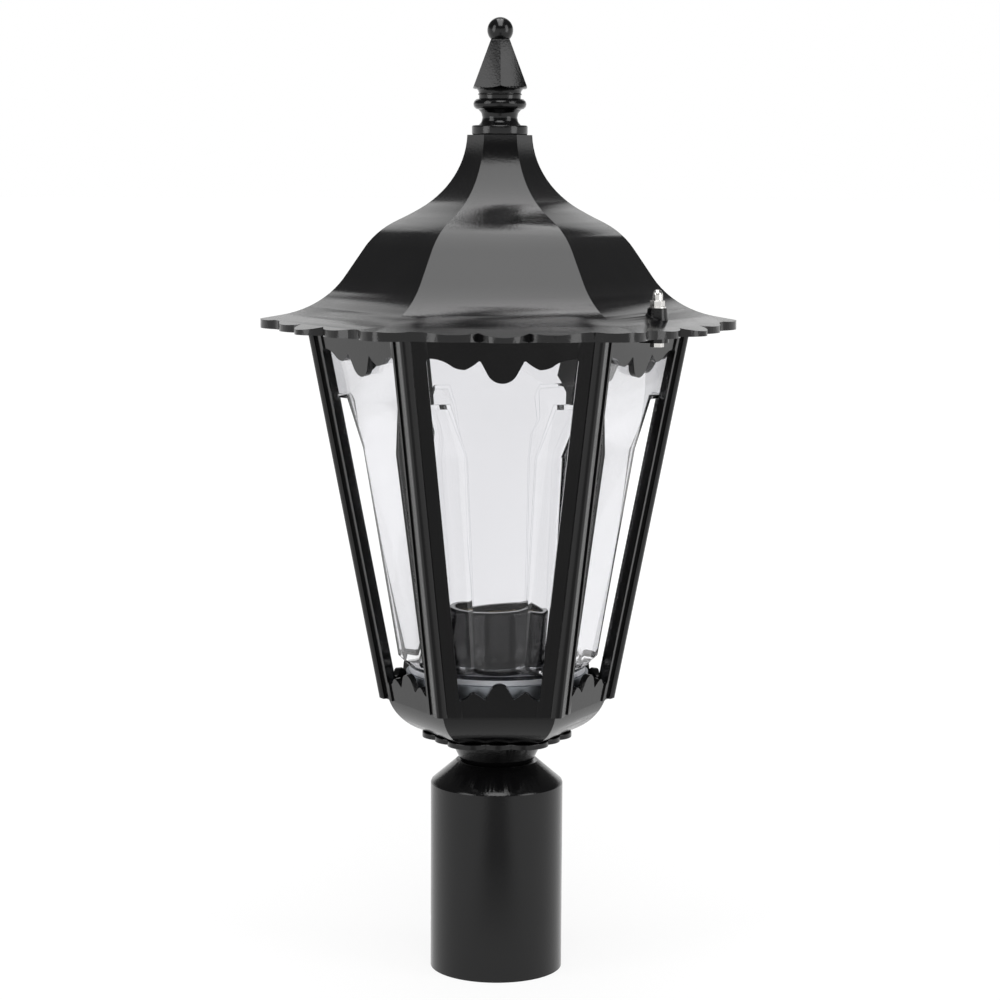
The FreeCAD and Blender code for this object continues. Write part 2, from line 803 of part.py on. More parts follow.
def terminal_places():
    first = -(terminal_poles - 1) / 2
    return [V((first + i) * terminal_pitch, terminal_offset, 0) for i in range(terminal_poles)]


terminal_hole_z = bowl_floor_z + terminal_hole_height
terminal_front = terminal_offset - terminal_depth / 2


def terminal_block():
    body = Part.makeBox(terminal_length, terminal_depth, terminal_height,
                        V(-terminal_length / 2, terminal_front, bowl_floor_z))
    top = bowl_floor_z + terminal_height
    for at in terminal_places():
        wire_hole = Part.makeCylinder(terminal_hole_radius, terminal_depth + 2 * THROUGH,
                                      V(at.x, terminal_front - THROUGH, terminal_hole_z), V(0, 1, 0))
        screw_hole = rod(terminal_screw_radius + small_screw_play, terminal_hole_z, top + THROUGH, at)
        body = body.cut(wire_hole).cut(screw_hole)
    return body


def terminal_screws():
    low = bowl_floor_z + terminal_screw_foot
    high = bowl_floor_z + terminal_height - terminal_screw_sink
    return [rod(terminal_screw_radius, low, high, at) for at in terminal_places()]


def holder_leads():
    """Two insulated leads, from the outer terminals up through the mounting plate to the holder."""
    leads = []
    for at in LEAD_PLACES:
        start = V(at.x, terminal_front + lead_entry, terminal_hole_z)
        bend_in = V(at.x, lead_bend, terminal_hole_z)
        middle = V(at.x, lead_bend, terminal_hole_z + lead_bend) - V(0, 1, 1).normalize() * lead_bend
        bend_out = V(at.x, 0, terminal_hole_z + lead_bend)
        end = V(at.x, 0, holder_z + lead_entry)
        path = Part.makePolygon([start, bend_in, middle, bend_out, end])
        section = Part.Wire([Part.makeCircle(lead_radius, start, V(0, 1, 0))])
        leads.append(path.makePipeShell([section], True, False, MITRED))
    return leads


def earth_screw():
    return small_screw(EARTH_PLACE, bowl_floor_z, bowl_wall)


# ---------------------------------------------------------------------------
# Roof
# ---------------------------------------------------------------------------


def normal(slope):
    return V(math.sin(math.radians(slope)), 0, math.cos(math.radians(slope)))


def heading(slope):
    return V(math.cos(math.radians(slope)), 0, -math.sin(math.radians(slope)))


def bend(point, slope, end, radius):
    """Middle and end of an arc that turns from one slope to another; a negative radius bows out."""
    center = point + normal(slope) * radius
    return center - normal((slope + end) / 2) * radius, center - normal(end) * radius


def crown_edges(offset):
    """The arcs from the neck to the skirt, moved inwards by the offset."""
    slope = 90.0
    point = V(roof_neck_apothem, 0, roof_top_z + roof_neck_lift) - normal(slope) * offset
    edges = []
    for radius, end in ((hollow_radius, hollow_end), (easing_radius, easing_end),
                        (-shoulder_radius, shoulder_end)):
        middle, after = bend(point, slope, end, radius + offset)
        edges.append(Part.Arc(point, middle, after).toShape())
        point, slope = after, end
    return edges, point


def skirt_length():
    """Length of the straight skirt that brings the lip to the rim's upper edge."""
    start = crown_edges(0.0)[1]
    flare = bend(CENTER, shoulder_end, flare_end, flare_radius)[1]
    rest = V(rim_apothem, 0, rim_z + rim_height) - start - flare
    skirt, lip = heading(shoulder_end), heading(flare_end)
    return (rest.x * lip.z - rest.z * lip.x) / (skirt.x * lip.z - skirt.z * lip.x)


def roof_bell(offset):
    """The roof's solid form without its rim's outline, moved inwards by the offset."""
    edges, point = crown_edges(offset)
    after = point + heading(shoulder_end) * skirt_length()
    edges.append(Part.makeLine(point, after))
    middle, lip_start = bend(after, shoulder_end, flare_end, flare_radius + offset)
    edges.append(Part.Arc(after, middle, lip_start).toShape())
    reach = rim_apothem + 2 * rim_tip_out
    lip_end = lip_start + heading(flare_end) * ((reach - lip_start.x) / heading(flare_end).x)
    edges.append(Part.makeLine(lip_start, lip_end))
    edges.append(Part.makeLine(lip_end, V(reach, 0, rim_z - 2 * rim_tip_out)))
    return six_sided(edges)


def rim_prism():
    """The roof's outline seen from above: on each side an ear, a lobe, a drop, a lobe and an ear."""
    corner_u = (rim_apothem + rim_corner_out) * TAN30

    def at(u, out):
        return V(rim_apothem + out, u, rim_z)

    corner, dip = at(corner_u, rim_corner_out), at(rim_dip_at, rim_dip_out)
    turn = at(rim_lobe_at + 0.42 * (rim_dip_at - rim_lobe_at), 0.62 * rim_lobe_out)
    ease = at(rim_dip_at - 0.36 * (rim_dip_at - rim_lobe_at), rim_dip_out + 0.17 * rim_lobe_out)
    lobe, cusp = at(rim_lobe_at, rim_lobe_out), at(rim_cusp_at, rim_cusp_out)
    flank = at(0.60 * rim_cusp_at, rim_cusp_out + 0.69 * (rim_tip_out - rim_cusp_out))
    half = [(corner, at(corner_u - rim_ear_back, rim_ear_out), dip), (dip, ease, turn), (turn, lobe, cusp),
            (cusp, flank, at(0, rim_tip_out))]
    edges = []
    for edge in arcs(half) + arcs([mirrored(triple) for triple in half]):
        edges += around(edge, 6, 30)
    return face_within(edges).extrude(V(0, 0, roof_top_z - rim_z))


def roof_shell():
    bell = roof_bell(0.0).common(rim_prism())
    room = hex_rod(rim_apothem - rim_wall, 0, roof_ceiling_z)
    body = bell.cut(roof_bell(roof_wall).common(room))
    under_roof = roof_bell(roof_wall - OVERLAP)
    rib = hex_ring(rib_outer, rib_outer - rib_width, gasket_top_z, roof_top_z).common(under_roof)
    bosses = [Part.makeCone(boss_foot_radius, boss_top_radius, boss_height, V(at.x, at.y, cage_top_z))
              for at in CLOSURE_PLACES]
    body = fused([body, rib] + bosses)
    for at in CLOSURE_PLACES:
        body = body.cut(rod(bolt_radius + bolt_play, cage_top_z - THROUGH, boss_top_z + THROUGH, at))
    return body.cut(rod(stud_radius + stud_play, roof_ceiling_z - THROUGH, roof_top_z + THROUGH))


# ---------------------------------------------------------------------------
# Closure hardware
# ---------------------------------------------------------------------------


def closure_bolts():
    bolts = []
    for at in CLOSURE_PLACES:
        head = hex_rod(bolt_head_flat / 2, bolt_head_z - bolt_head_height, bolt_head_z, at)
        shank = rod(bolt_radius, bolt_head_z, washer_top_z + bolt_engagement, at)
        bolts.append(fused([head, shank]))
    return bolts


def closure_washers():
    return [tube(washer_radius, bolt_radius + bolt_play, boss_top_z, washer_top_z, at)
            for at in CLOSURE_PLACES]


def cap_nut(at):
    ball_z = washer_top_z + cap_nut_height - cap_nut_dome
    body = hex_rod(cap_nut_flat / 2, washer_top_z, washer_top_z + cap_nut_hex, at)
    dome = rod(cap_nut_dome, washer_top_z, ball_z, at)
    ball = Part.makeSphere(cap_nut_dome, V(at.x, at.y, ball_z))
    bore = rod(bolt_radius + cap_nut_play, washer_top_z - THROUGH, washer_top_z + cap_nut_depth, at)
    return fused([body, dome, ball]).cut(bore)


# ---------------------------------------------------------------------------
# Finial
# ---------------------------------------------------------------------------


def round_edge(radius, z, size, up):
    """A quarter round on a turned outline: from the face to the side, or back when up is false."""
    turn = size * (1 - math.sqrt(0.5))
    if up:
        return ((radius - turn, z + turn), (radius, z + size))
    return ((radius - turn, z - turn), (radius - size, z))


def finial_turning():
    """The turned part: base, hollow neck, rounded disc, collar with a ring, and a cove."""
    z = roof_top_z
    base_top = z + finial_base_height
    neck_end = finial_neck_radius + finial_neck_flare
    disc = z + finial_disc_z
    disc_low, disc_high = disc - finial_disc_height / 2, disc + finial_disc_height / 2
    spire = z + finial_spire_z
    ring_low = (disc_high + spire) / 2 - finial_ring_height
    ring_high = ring_low + finial_ring_height
    cove_end = finial_spire_apothem - finial_edge
    cove_middle = (finial_collar_radius + (cove_end - finial_collar_radius) * 0.3,
                   (ring_high + 2 * spire) / 3)
    return revolved([
        (0, z), (finial_base_radius - finial_edge, z),
        round_edge(finial_base_radius, z, finial_edge, True),
        (finial_base_radius, base_top - finial_edge),
        round_edge(finial_base_radius, base_top, finial_edge, False), (neck_end, base_top),
        ((finial_neck_radius, (base_top + disc_low) / 2), (neck_end, disc_low)),
        ((finial_disc_radius, disc), (finial_collar_radius, disc_high)), (finial_collar_radius, ring_low),
        ((finial_collar_radius + finial_ring_height / 2, (ring_low + ring_high) / 2),
         (finial_collar_radius, ring_high)),
        (cove_middle, (cove_end, spire)), (0, spire)])


def finial():
    z = roof_top_z
    spire = z + finial_spire_z
    corner_radius = finial_spire_apothem / COS30
    foot = hexagon(finial_spire_apothem, spire - OVERLAP, 30.0)
    top = hexagon(finial_spire_top_apothem, z + finial_spire_top_z, 30.0)
    steepness = (corner_radius - finial_spire_apothem) / finial_spire_nick
    high = z + finial_ball_z
    low_radius = finial_spire_apothem - OVERLAP * steepness
    high_radius = finial_spire_apothem + (high - spire) * steepness
    under_cut = revolved([(0, spire - OVERLAP), (low_radius, spire - OVERLAP), (high_radius, high),
                          (0, high)])
    ball = Part.makeSphere(finial_ball_radius, V(0, 0, high))
    body = fused([finial_turning(), frustum(foot, top).common(under_cut), ball])
    return body.cut(rod(stud_radius, z - THROUGH, z + stud_depth))


finial_washer_z = roof_ceiling_z - stud_washer_thickness
finial_nut_z = finial_washer_z - stud_nut_height


def finial_stud():
    return rod(stud_radius, finial_nut_z - stud_stand_out, roof_top_z + stud_depth - stud_end_play)


def finial_washer():
    return tube(stud_washer_radius, stud_radius + stud_play, finial_washer_z, roof_ceiling_z)


def finial_nut():
    nut = hex_rod(stud_nut_flat / 2, finial_nut_z, finial_washer_z)
    return nut.cut(rod(stud_radius, finial_nut_z - THROUGH, finial_washer_z + THROUGH))


# ---------------------------------------------------------------------------
# Nodes
# ---------------------------------------------------------------------------
nodes = {
    "post_collar": [post_collar()],
    "collar_grub_screws": collar_grub_screws(),
    "neck_plate": [neck_plate()],
    "base_bowl": [base_bowl()],
    "threaded_tube": [threaded_tube()],
    "tube_lock_nuts": tube_lock_nuts(),
    "tube_washers": tube_washers(),
    "cage": [cage()],
    "cage_screws": cage_screws(),
    "mounting_plate": [mounting_plate()],
    "plate_screws": plate_screws(),
    "insert_gasket": [insert_gasket()],
    "clear_insert": [clear_insert()],
    "roof_gasket": [roof_gasket()],
    "holder_body": [holder_body()],
    "holder_insulator": [holder_insulator()],
    "holder_screw_shell": [holder_screw_shell()],
    "holder_contact": [holder_contact()],
    "holder_screws": holder_screws(),
    "holder_leads": holder_leads(),
    "terminal_block": [terminal_block()],
    "terminal_screws": terminal_screws(),
    "earth_screw": [earth_screw()],
    "closure_bolts": closure_bolts(),
    "closure_washers": closure_washers(),
    "cap_nut_right": [cap_nut(CLOSURE_PLACES[0])],
    "cap_nut_left": [cap_nut(CLOSURE_PLACES[1])],
    "roof_shell": [roof_shell()],
    "finial": [finial()],
    "finial_stud": [finial_stud()],
    "finial_washer": [finial_washer()],
    "finial_nut": [finial_nut()],
}

os.makedirs("parts", exist_ok=True)
for node_name, node_solids in nodes.items():
    save(node_name, node_solids)
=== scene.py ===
import json
import math
from functools import partial

import bmesh
import bpy
from mathutils import Matrix, Vector


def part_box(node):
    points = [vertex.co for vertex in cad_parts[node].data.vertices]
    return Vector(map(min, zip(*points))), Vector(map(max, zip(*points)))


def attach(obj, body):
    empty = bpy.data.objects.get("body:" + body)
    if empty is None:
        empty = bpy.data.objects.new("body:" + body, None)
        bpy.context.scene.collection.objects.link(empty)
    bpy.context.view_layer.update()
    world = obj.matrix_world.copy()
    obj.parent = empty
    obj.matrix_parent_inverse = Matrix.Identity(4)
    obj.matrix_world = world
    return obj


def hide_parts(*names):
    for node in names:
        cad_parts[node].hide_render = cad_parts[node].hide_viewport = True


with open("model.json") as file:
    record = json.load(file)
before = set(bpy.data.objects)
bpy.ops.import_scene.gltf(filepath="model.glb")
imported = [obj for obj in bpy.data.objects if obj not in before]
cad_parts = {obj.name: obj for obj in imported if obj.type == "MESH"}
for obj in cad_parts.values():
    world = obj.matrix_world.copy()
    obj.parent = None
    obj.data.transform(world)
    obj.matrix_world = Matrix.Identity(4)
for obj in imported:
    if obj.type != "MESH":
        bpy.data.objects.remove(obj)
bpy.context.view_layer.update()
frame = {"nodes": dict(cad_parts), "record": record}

scene = bpy.context.scene
scene.view_settings.view_transform = "Standard"

MM = 0.001

# ---------------------------------------------------------------------------
# Camera: the photograph was taken slightly from above, a little to the left
# of the front face's centre line
# ---------------------------------------------------------------------------
CAMERA_DISTANCE = 1.3797
CAMERA_HEIGHT = 0.4257
CAMERA_LENS = 95.39
CAMERA_SENSOR = 36.0
CAMERA_CLIP = (0.05, 50.0)
CAMERA_TILT = 7.238             # degrees below level
CAMERA_TURN = 1.3               # degrees round the lantern, to its left
CAMERA_AIM = 0.043              # degrees to the right of the lantern's axis
CAMERA_ROLL = 0.28              # degrees


def add_camera():
    data = bpy.data.cameras.new("camera")
    data.lens = CAMERA_LENS
    data.sensor_width = CAMERA_SENSOR
    data.clip_start, data.clip_end = CAMERA_CLIP
    camera = bpy.data.objects.new("camera", data)
    scene.collection.objects.link(camera)
    turn = math.radians(CAMERA_TURN)
    place = Vector((-CAMERA_DISTANCE * math.sin(turn), -CAMERA_DISTANCE * math.cos(turn), CAMERA_HEIGHT))
    heading = Matrix.Rotation(-turn - math.radians(CAMERA_AIM), 4, "Z")
    tilt = Matrix.Rotation(math.radians(90 - CAMERA_TILT), 4, "X")
    roll = Matrix.Rotation(math.radians(CAMERA_ROLL), 4, "Z")
    camera.matrix_world = Matrix.Translation(place) @ heading @ tilt @ roll
    scene.camera = camera


# ---------------------------------------------------------------------------
# Nodes that the materials, the threads and the backdrop are made with
# ---------------------------------------------------------------------------


def add_node(nodes, kind, **sockets):
    """Adds a node and sets its inputs by name, with _ for a space."""
    node = nodes.new(kind)
    for name, value in sockets.items():
        node.inputs[name.replace("_", " ")].default_value = value
    return node


def combined(nodes, links, operation, *values):
    """One maths node on sockets or numbers."""
    node = nodes.new("ShaderNodeMath")
    node.operation = operation
    for socket, value in zip(node.inputs, values):
        if isinstance(value, (int, float)):
            socket.default_value = value
        else:
            links.new(value, socket)
    return node.outputs[0]


def split_up(nodes, links, vector):
    """The three numbers of a vector, by the names X, Y and Z."""
    split = nodes.new("ShaderNodeSeparateXYZ")
    links.new(vector, split.inputs[0])
    return split.outputs


def ranged(nodes, links, value, low, high, low_out, high_out):
    """Maps a value from one range to another."""
    node = add_node(nodes, "ShaderNodeMapRange", From_Min=low, From_Max=high, To_Min=low_out, To_Max=high_out)
    links.new(value, node.inputs["Value"])
    return node.outputs["Result"]


def stepped(nodes, links, value, low, high, low_out=0.0, high_out=1.0):
    """A smooth step from one level to another."""
    level = ranged(nodes, links, value, low, high, low_out, high_out)
    level.node.interpolation_type = "SMOOTHSTEP"
    return level


# ---------------------------------------------------------------------------
# Materials
# ---------------------------------------------------------------------------
# A noise's scale is in turns a metre. Shades are pairs, darker and lighter, and roughness is a pair too.
NOISE_SPREAD = (0.3, 0.7)       # nearly all of a noise lies between these

COAT_SHADES = ((0.0026, 0.0026, 0.0029), (0.0042, 0.0041, 0.0044))
COAT_ROUGHNESS = (0.13, 0.20)
COAT_GLOSS = 0.36
COAT_CLOUD = 38.0
COAT_PEEL = 900.0
COAT_PEEL_DETAIL = 2.0
COAT_PEEL_DEPTH = 0.06 * MM

ACRYLIC_TINT_AND_CREASE_SHADE = ((0.905, 0.905, 0.92), (0.5, 0.51, 0.54))      # the wall's tint, then the painted shade of its creases, for the dark lines that refraction draws there
ACRYLIC_ROUGHNESS = (0.004, 0.012)
ACRYLIC_FLOW = 60.0
ACRYLIC_IOR = 1.49
ACRYLIC_SHADOW = (0.945, 0.945, 0.952, 1)                       # what it lets through to its shadow
CREASE_SHADE_MARK = "crease_shade"                                          # the mesh's attribute, 1 on the creases that get the painted shade

METAL_GRAIN = 400.0
METAL_DEPTH = 0.01 * MM
FINE_GRAIN = 3                  # the bumps of a surface are so many times finer than its mottling

# name, shades, roughness
METALS = (
    ("stainless", ((0.62, 0.61, 0.59), (0.72, 0.71, 0.69)), (0.20, 0.30)),
    ("zinc_steel", ((0.30, 0.32, 0.35), (0.40, 0.42, 0.45)), (0.42, 0.54)),
    ("nickel_brass", ((0.56, 0.50, 0.40), (0.66, 0.60, 0.50)), (0.16, 0.26)),
    ("brass", ((0.66, 0.48, 0.20), (0.76, 0.58, 0.28)), (0.20, 0.32)),
)

# name, shades, roughness, scale of the mottling, depth of the bumps, gloss
MOULDINGS = (
    ("holder_black", ((0.003, 0.003, 0.0035), (0.005, 0.005, 0.0055)), (0.10, 0.15), 120.0, 0.01 * MM, 0.25),
    ("ceramic", ((0.78, 0.77, 0.72), (0.86, 0.85, 0.81)), (0.30, 0.45), 300.0, 0.02 * MM, 0.5),
    ("clear_silicone", ((0.62, 0.63, 0.66), (0.70, 0.71, 0.74)), (0.35, 0.50), 300.0, 0.02 * MM, 0.5),
    ("black_rubber", ((0.018, 0.018, 0.018), (0.03, 0.03, 0.03)), (0.60, 0.80), 700.0, 0.08 * MM, 0.5),
    ("white_nylon", ((0.80, 0.80, 0.77), (0.86, 0.86, 0.84)), (0.38, 0.50), 300.0, 0.02 * MM, 0.5),
    ("lead_insulation", ((0.74, 0.73, 0.70), (0.80, 0.79, 0.76)), (0.40, 0.55), 300.0, 0.02 * MM, 0.5),
)


def new_material(name):
    """A material with its nodes, its links and its shader."""
    material = bpy.data.materials.new(name)
    material.use_nodes = True
    nodes, links = material.node_tree.nodes, material.node_tree.links
    return material, nodes, links, nodes["Principled BSDF"]


def object_noise(nodes, links, scale, detail=3.0):
    """Noise that follows the object's own coordinates."""
    place = nodes.new("ShaderNodeTexCoord")
    noise = add_node(nodes, "ShaderNodeTexNoise", Scale=scale, Detail=detail)
    links.new(place.outputs["Object"], noise.inputs["Vector"])
    return noise.outputs["Fac"]


def shade(nodes, links, shader, factor, shades):
    """Lets the shader's colour wander between two shades."""
    mix = nodes.new("ShaderNodeMix")
    mix.data_type = "RGBA"
    mix.inputs["A"].default_value = (*shades[0], 1)
    mix.inputs["B"].default_value = (*shades[1], 1)
    links.new(factor, mix.inputs["Factor"])
    links.new(mix.outputs["Result"], shader.inputs["Base Color"])


def roughen(nodes, links, shader, noise, roughness):
    """Lets the shader's roughness wander between two levels."""
    links.new(ranged(nodes, links, noise, *NOISE_SPREAD, *roughness), shader.inputs["Roughness"])


def bump(nodes, links, shader, height, depth):
    """Raises bumps of the given depth where the noise is high."""
    bumps = add_node(nodes, "ShaderNodeBump", Distance=depth)
    links.new(height, bumps.inputs["Height"])
    links.new(bumps.outputs["Normal"], shader.inputs["Normal"])


def black_coat():
    """Satin powder coat on a casting: fine orange peel, with slow changes of gloss."""
    material, nodes, links, shader = new_material("black_coat")
    cloud = object_noise(nodes, links, COAT_CLOUD)
    shade(nodes, links, shader, cloud, COAT_SHADES)
    roughen(nodes, links, shader, cloud, COAT_ROUGHNESS)
    shader.inputs["Specular IOR Level"].default_value = COAT_GLOSS
    bump(nodes, links, shader, object_noise(nodes, links, COAT_PEEL, COAT_PEEL_DETAIL), COAT_PEEL_DEPTH)
    return material


def clear_acrylic():
    """Clear moulding that lets the lamps through; its creases get a painted darker shade, for the dark lines
    that refraction draws there.
    """
    material, nodes, links, shader = new_material("clear_acrylic")
    crease_shade = nodes.new("ShaderNodeAttribute")
    crease_shade.attribute_name = CREASE_SHADE_MARK
    # painted shade: the creases are coloured darker than the clear wall, for the dark refraction lines along
    # them
    shade(nodes, links, shader, crease_shade.outputs["Fac"], ACRYLIC_TINT_AND_CREASE_SHADE)
    roughen(nodes, links, shader, object_noise(nodes, links, ACRYLIC_FLOW), ACRYLIC_ROUGHNESS)
    shader.inputs["Transmission Weight"].default_value = 1.0
    shader.inputs["IOR"].default_value = ACRYLIC_IOR
    ray = nodes.new("ShaderNodeLightPath")
    clear = add_node(nodes, "ShaderNodeBsdfTransparent", Color=ACRYLIC_SHADOW)
    mix = nodes.new("ShaderNodeMixShader")
    links.new(ray.outputs["Is Shadow Ray"], mix.inputs[0])
    links.new(shader.outputs[0], mix.inputs[1])
    links.new(clear.outputs[0], mix.inputs[2])
    links.new(mix.outputs[0], nodes["Material Output"].inputs["Surface"])
    return material


def moulded(name, shades, roughness, grain, depth, gloss):
    """A plastic, rubber or ceramic with a fine surface."""
    material, nodes, links, shader = new_material(name)
    mottling = object_noise(nodes, links, grain)
    shade(nodes, links, shader, mottling, shades)
    roughen(nodes, links, shader, mottling, roughness)
    shader.inputs["Specular IOR Level"].default_value = gloss
    bump(nodes, links, shader, object_noise(nodes, links, grain * FINE_GRAIN), depth)
    return material


def metal(name, shades, roughness):
    """A bare or plated metal with a fine grain."""
    material, nodes, links, shader = new_material(name)
    mottling = object_noise(nodes, links, METAL_GRAIN)
    shade(nodes, links, shader, mottling, shades)
    roughen(nodes, links, shader, mottling, roughness)
    shader.inputs["Metallic"].default_value = 1.0
    bump(nodes, links, shader, object_noise(nodes, links, METAL_GRAIN * FINE_GRAIN), METAL_DEPTH)
    return material


MATERIALS = {
    "black_coat": black_coat(),
    "clear_acrylic": clear_acrylic(),
    **{finish[0]: metal(*finish) for finish in METALS},
    **{finish[0]: moulded(*finish) for finish in MOULDINGS},
}

# ---------------------------------------------------------------------------
# Pieces made from the frame's own shapes
# ---------------------------------------------------------------------------
SLOT_OF = {part["node"]: part["material_slot"] for part in frame["record"]["subparts"]}
BODIES = frame["record"]["behaviour"]["bodies"]
BODY_OF = {node: body for body, members in BODIES.items() for node in members}

WELD = 0.001 * MM
FLAT_ANGLE = 0.4                # degrees; faces that meet at less are joined to one
SHARP_ANGLE = 28.0              # degrees; edges that turn more are eased, and stay sharp in the shading
EASE_STEPS = 2
SLIVER_WIDTH = 0.001 * MM
SLIVER_WELD = 0.02 * MM

# node, and rounding of its edges in millimetres
EASED_EDGES = (
    ("post_collar", 0.6), ("neck_plate", 0.5), ("base_bowl", 0.5), ("roof_shell", 0.6),
    ("finial", 0.35), ("holder_body", 0.4), ("cap_nut_right", 0.15), ("cap_nut_left", 0.15),
    ("closure_bolts", 0.15), ("closure_washers", 0.12), ("mounting_plate", 0.3), ("plate_screws", 0.12),
    ("cage_screws", 0.12), ("tube_lock_nuts", 0.3), ("tube_washers", 0.15), ("roof_gasket", 0.4),
    ("insert_gasket", 0.6), ("terminal_block", 0.4), ("terminal_screws", 0.1), ("collar_grub_screws", 0.1),
    ("finial_nut", 0.3), ("finial_washer", 0.15), ("holder_contact", 0.2), ("holder_screws", 0.12),
    ("holder_insulator", 0.15), ("earth_screw", 0.12),
)
CAGE_EASE = 0.3 * MM
INSERT_EASE = 0.35 * MM

SIDE = 60                       # degrees from one side of the lantern to the next
HALF_SIDE = 30

# The cage's reeds and beads. Each row gives a strip: the distances from the corner at which it starts
# and ends, its depth below the reeds, and the degrees by which its normal leans to the corner at its
# start and to the window at its end.
CROWNED_STRIPS = (
    (0.0, 4.7 * MM, 0.0, 10, 40),
    (9.8 * MM, 11.6 * MM, 0.9 * MM, 30, 30),
)
STRIP_SLACK = 0.35 * MM
SIDE_SLACK = 1                  # degrees that a strip's face may turn away from its side
END_SLACK = 0.1 * MM

CORNER_ROUND = 30.0             # degrees by which the insert's corner faces are rounded at their edges
CORNER_FACING = 0.97            # cosine of the angle within which a face looks at its corner
WALL_REACH = 30 * MM            # the insert's wall is further from the axis than this
UPRIGHT = 0.9                   # a wall's normal is level by more than this, a ledge's upright
CREASE_WIDTH = 0.4 * MM
SHOULDER_RISE = 60 * MM         # the insert's shoulders lie higher than this over its foot
SHOULDER_DROP = 15 * MM         # and lower than this under its top


def smooth_shape(node):
    """A copy of a node's mesh with its flat faces joined, and smooth but for its sharp edges."""
    mesh = frame["nodes"][node].data.copy()
    shape = bmesh.new()
    shape.from_mesh(mesh)
    bmesh.ops.remove_doubles(shape, verts=shape.verts, dist=WELD)
    bmesh.ops.dissolve_limit(shape, angle_limit=math.radians(FLAT_ANGLE), verts=shape.verts,
                             edges=shape.edges)
    shape.to_mesh(mesh)
    shape.free()
    mesh.shade_smooth()
    mesh.set_sharp_from_angle(angle=math.radians(SHARP_ANGLE))
    return mesh


def eased(mesh, ease):
    """A plain copy of the mesh with its sharp edges rounded by the given width."""
    holder = bpy.data.objects.new("easing", mesh)
    scene.collection.objects.link(holder)
    bevel = holder.modifiers.new("eased edges", "BEVEL")
    bevel.width = ease
    bevel.segments = EASE_STEPS
    bevel.limit_method = "ANGLE"
    bevel.angle_limit = math.radians(SHARP_ANGLE)
    bevel.harden_normals = True
    bevel.use_clamp_overlap = True
    depsgraph = bpy.context.evaluated_depsgraph_get()
    result = bpy.data.meshes.new_from_object(holder.evaluated_get(depsgraph))
    bpy.data.objects.remove(holder)
    return result


def show(name, mesh, node):
    """Puts a mesh in place of a node, on the node's body and in its finish."""
    mesh.name = name
    mesh.materials.clear()
    mesh.materials.append(MATERIALS[SLOT_OF[node]])
    piece = bpy.data.objects.new(name, mesh)
    scene.collection.objects.link(piece)
    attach(piece, BODY_OF[node])
    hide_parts(node)
    return piece


def finished(node, ease):
    """A node's own shape, with its sharp edges eased."""
    return show(node + "_finished", eased(smooth_shape(node), ease), node)


def level_way(degrees):
    """The level direction at an angle from the X axis."""
    turn = math.radians(degrees)
    return Vector((math.cos(turn), math.sin(turn), 0))


def turned(normal, degrees):
    """A normal turned about the upright axis."""
    return Matrix.Rotation(math.radians(degrees), 3, "Z") @ normal


def shading(mesh):
    """The normals at the corners of a mesh's faces, to be changed and set again."""
    return [corner.vector.copy() for corner in mesh.corner_normals]


def crown_strips(mesh):
    """Shades the reeds and beads of the cage as the rounded strips that they are in the casting: across
    each strip's flat the normal swings from the corner's side to the window's."""
    low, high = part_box("cage")

    def reach(height):
        """How far the cage's corners stand from the axis at its foot or its top."""
        return max(math.hypot(v.co.x, v.co.y) for v in mesh.vertices if abs(v.co.z - height) < END_SLACK)

    foot, top = reach(low.z), reach(high.z)

    def spot(place, out, along):
        """A point's distance from its corner, the hand of that corner, and its depth in the side."""
        corner = foot + (top - foot) * (place.z - low.z) / (high.z - low.z)
        across = place.dot(along)
        depth = corner * math.cos(math.radians(HALF_SIDE)) - place.dot(out)
        return corner / 2 - abs(across), math.copysign(1, across), depth

    normals = shading(mesh)
    for face in mesh.polygons:
        turn = math.degrees(math.atan2(face.normal.y, face.normal.x))
        side = SIDE * math.floor(turn / SIDE) + HALF_SIDE
        if abs(turn - side) > SIDE_SLACK or face.normal.z > 0:
            continue
        out = level_way(side)
        along = Vector((-out.y, out.x, 0))
        spots = [spot(mesh.vertices[vertex].co, out, along) for vertex in face.vertices]
        for start, end, strip_depth, lean, fall in CROWNED_STRIPS:
            if any(abs(depth - strip_depth) >= STRIP_SLACK for _, _, depth in spots):
                continue
            if any(not start - STRIP_SLACK < away < end + STRIP_SLACK for away, _, _ in spots):
                continue
            for loop, (away, hand, _) in zip(face.loop_indices, spots):
                swing = lean - (lean + fall) * (away - start) / (end - start)
                normals[loop] = turned(face.normal, hand * swing)
    mesh.normals_split_custom_set(normals)


def finished_cage():
    mesh = eased(smooth_shape("cage"), CAGE_EASE)
    crown_strips(mesh)
    return show("cage_finished", mesh, "cage")


def remove_slivers(mesh):
    """Takes out the faces of length but no width that the easing leaves, and welds their two sides."""
    shape = bmesh.new()
    shape.from_mesh(mesh)
    slivers = [face for face in shape.faces if face.calc_area() < SLIVER_WIDTH * face.calc_perimeter()]
    bmesh.ops.delete(shape, geom=slivers, context="FACES_ONLY")
    bmesh.ops.remove_doubles(shape, verts=shape.verts, dist=SLIVER_WELD)
    shape.to_mesh(mesh)
    shape.free()


def mark_shaded_creases(mesh):
    """Gives the insert's mesh the attribute that is 1 on the narrow faces along its creases, where the
    material paints shade.
    """
    marks = mesh.attributes.new(CREASE_SHADE_MARK, "FLOAT", "FACE")
    for face in mesh.polygons:
        points = [mesh.vertices[i].co for i in face.vertices]
        longest = max((a - b).length for a, b in zip(points, points[1:] + points[:1]))
        marks.data[face.index].value = 1.0 if face.area / longest < CREASE_WIDTH else 0.0


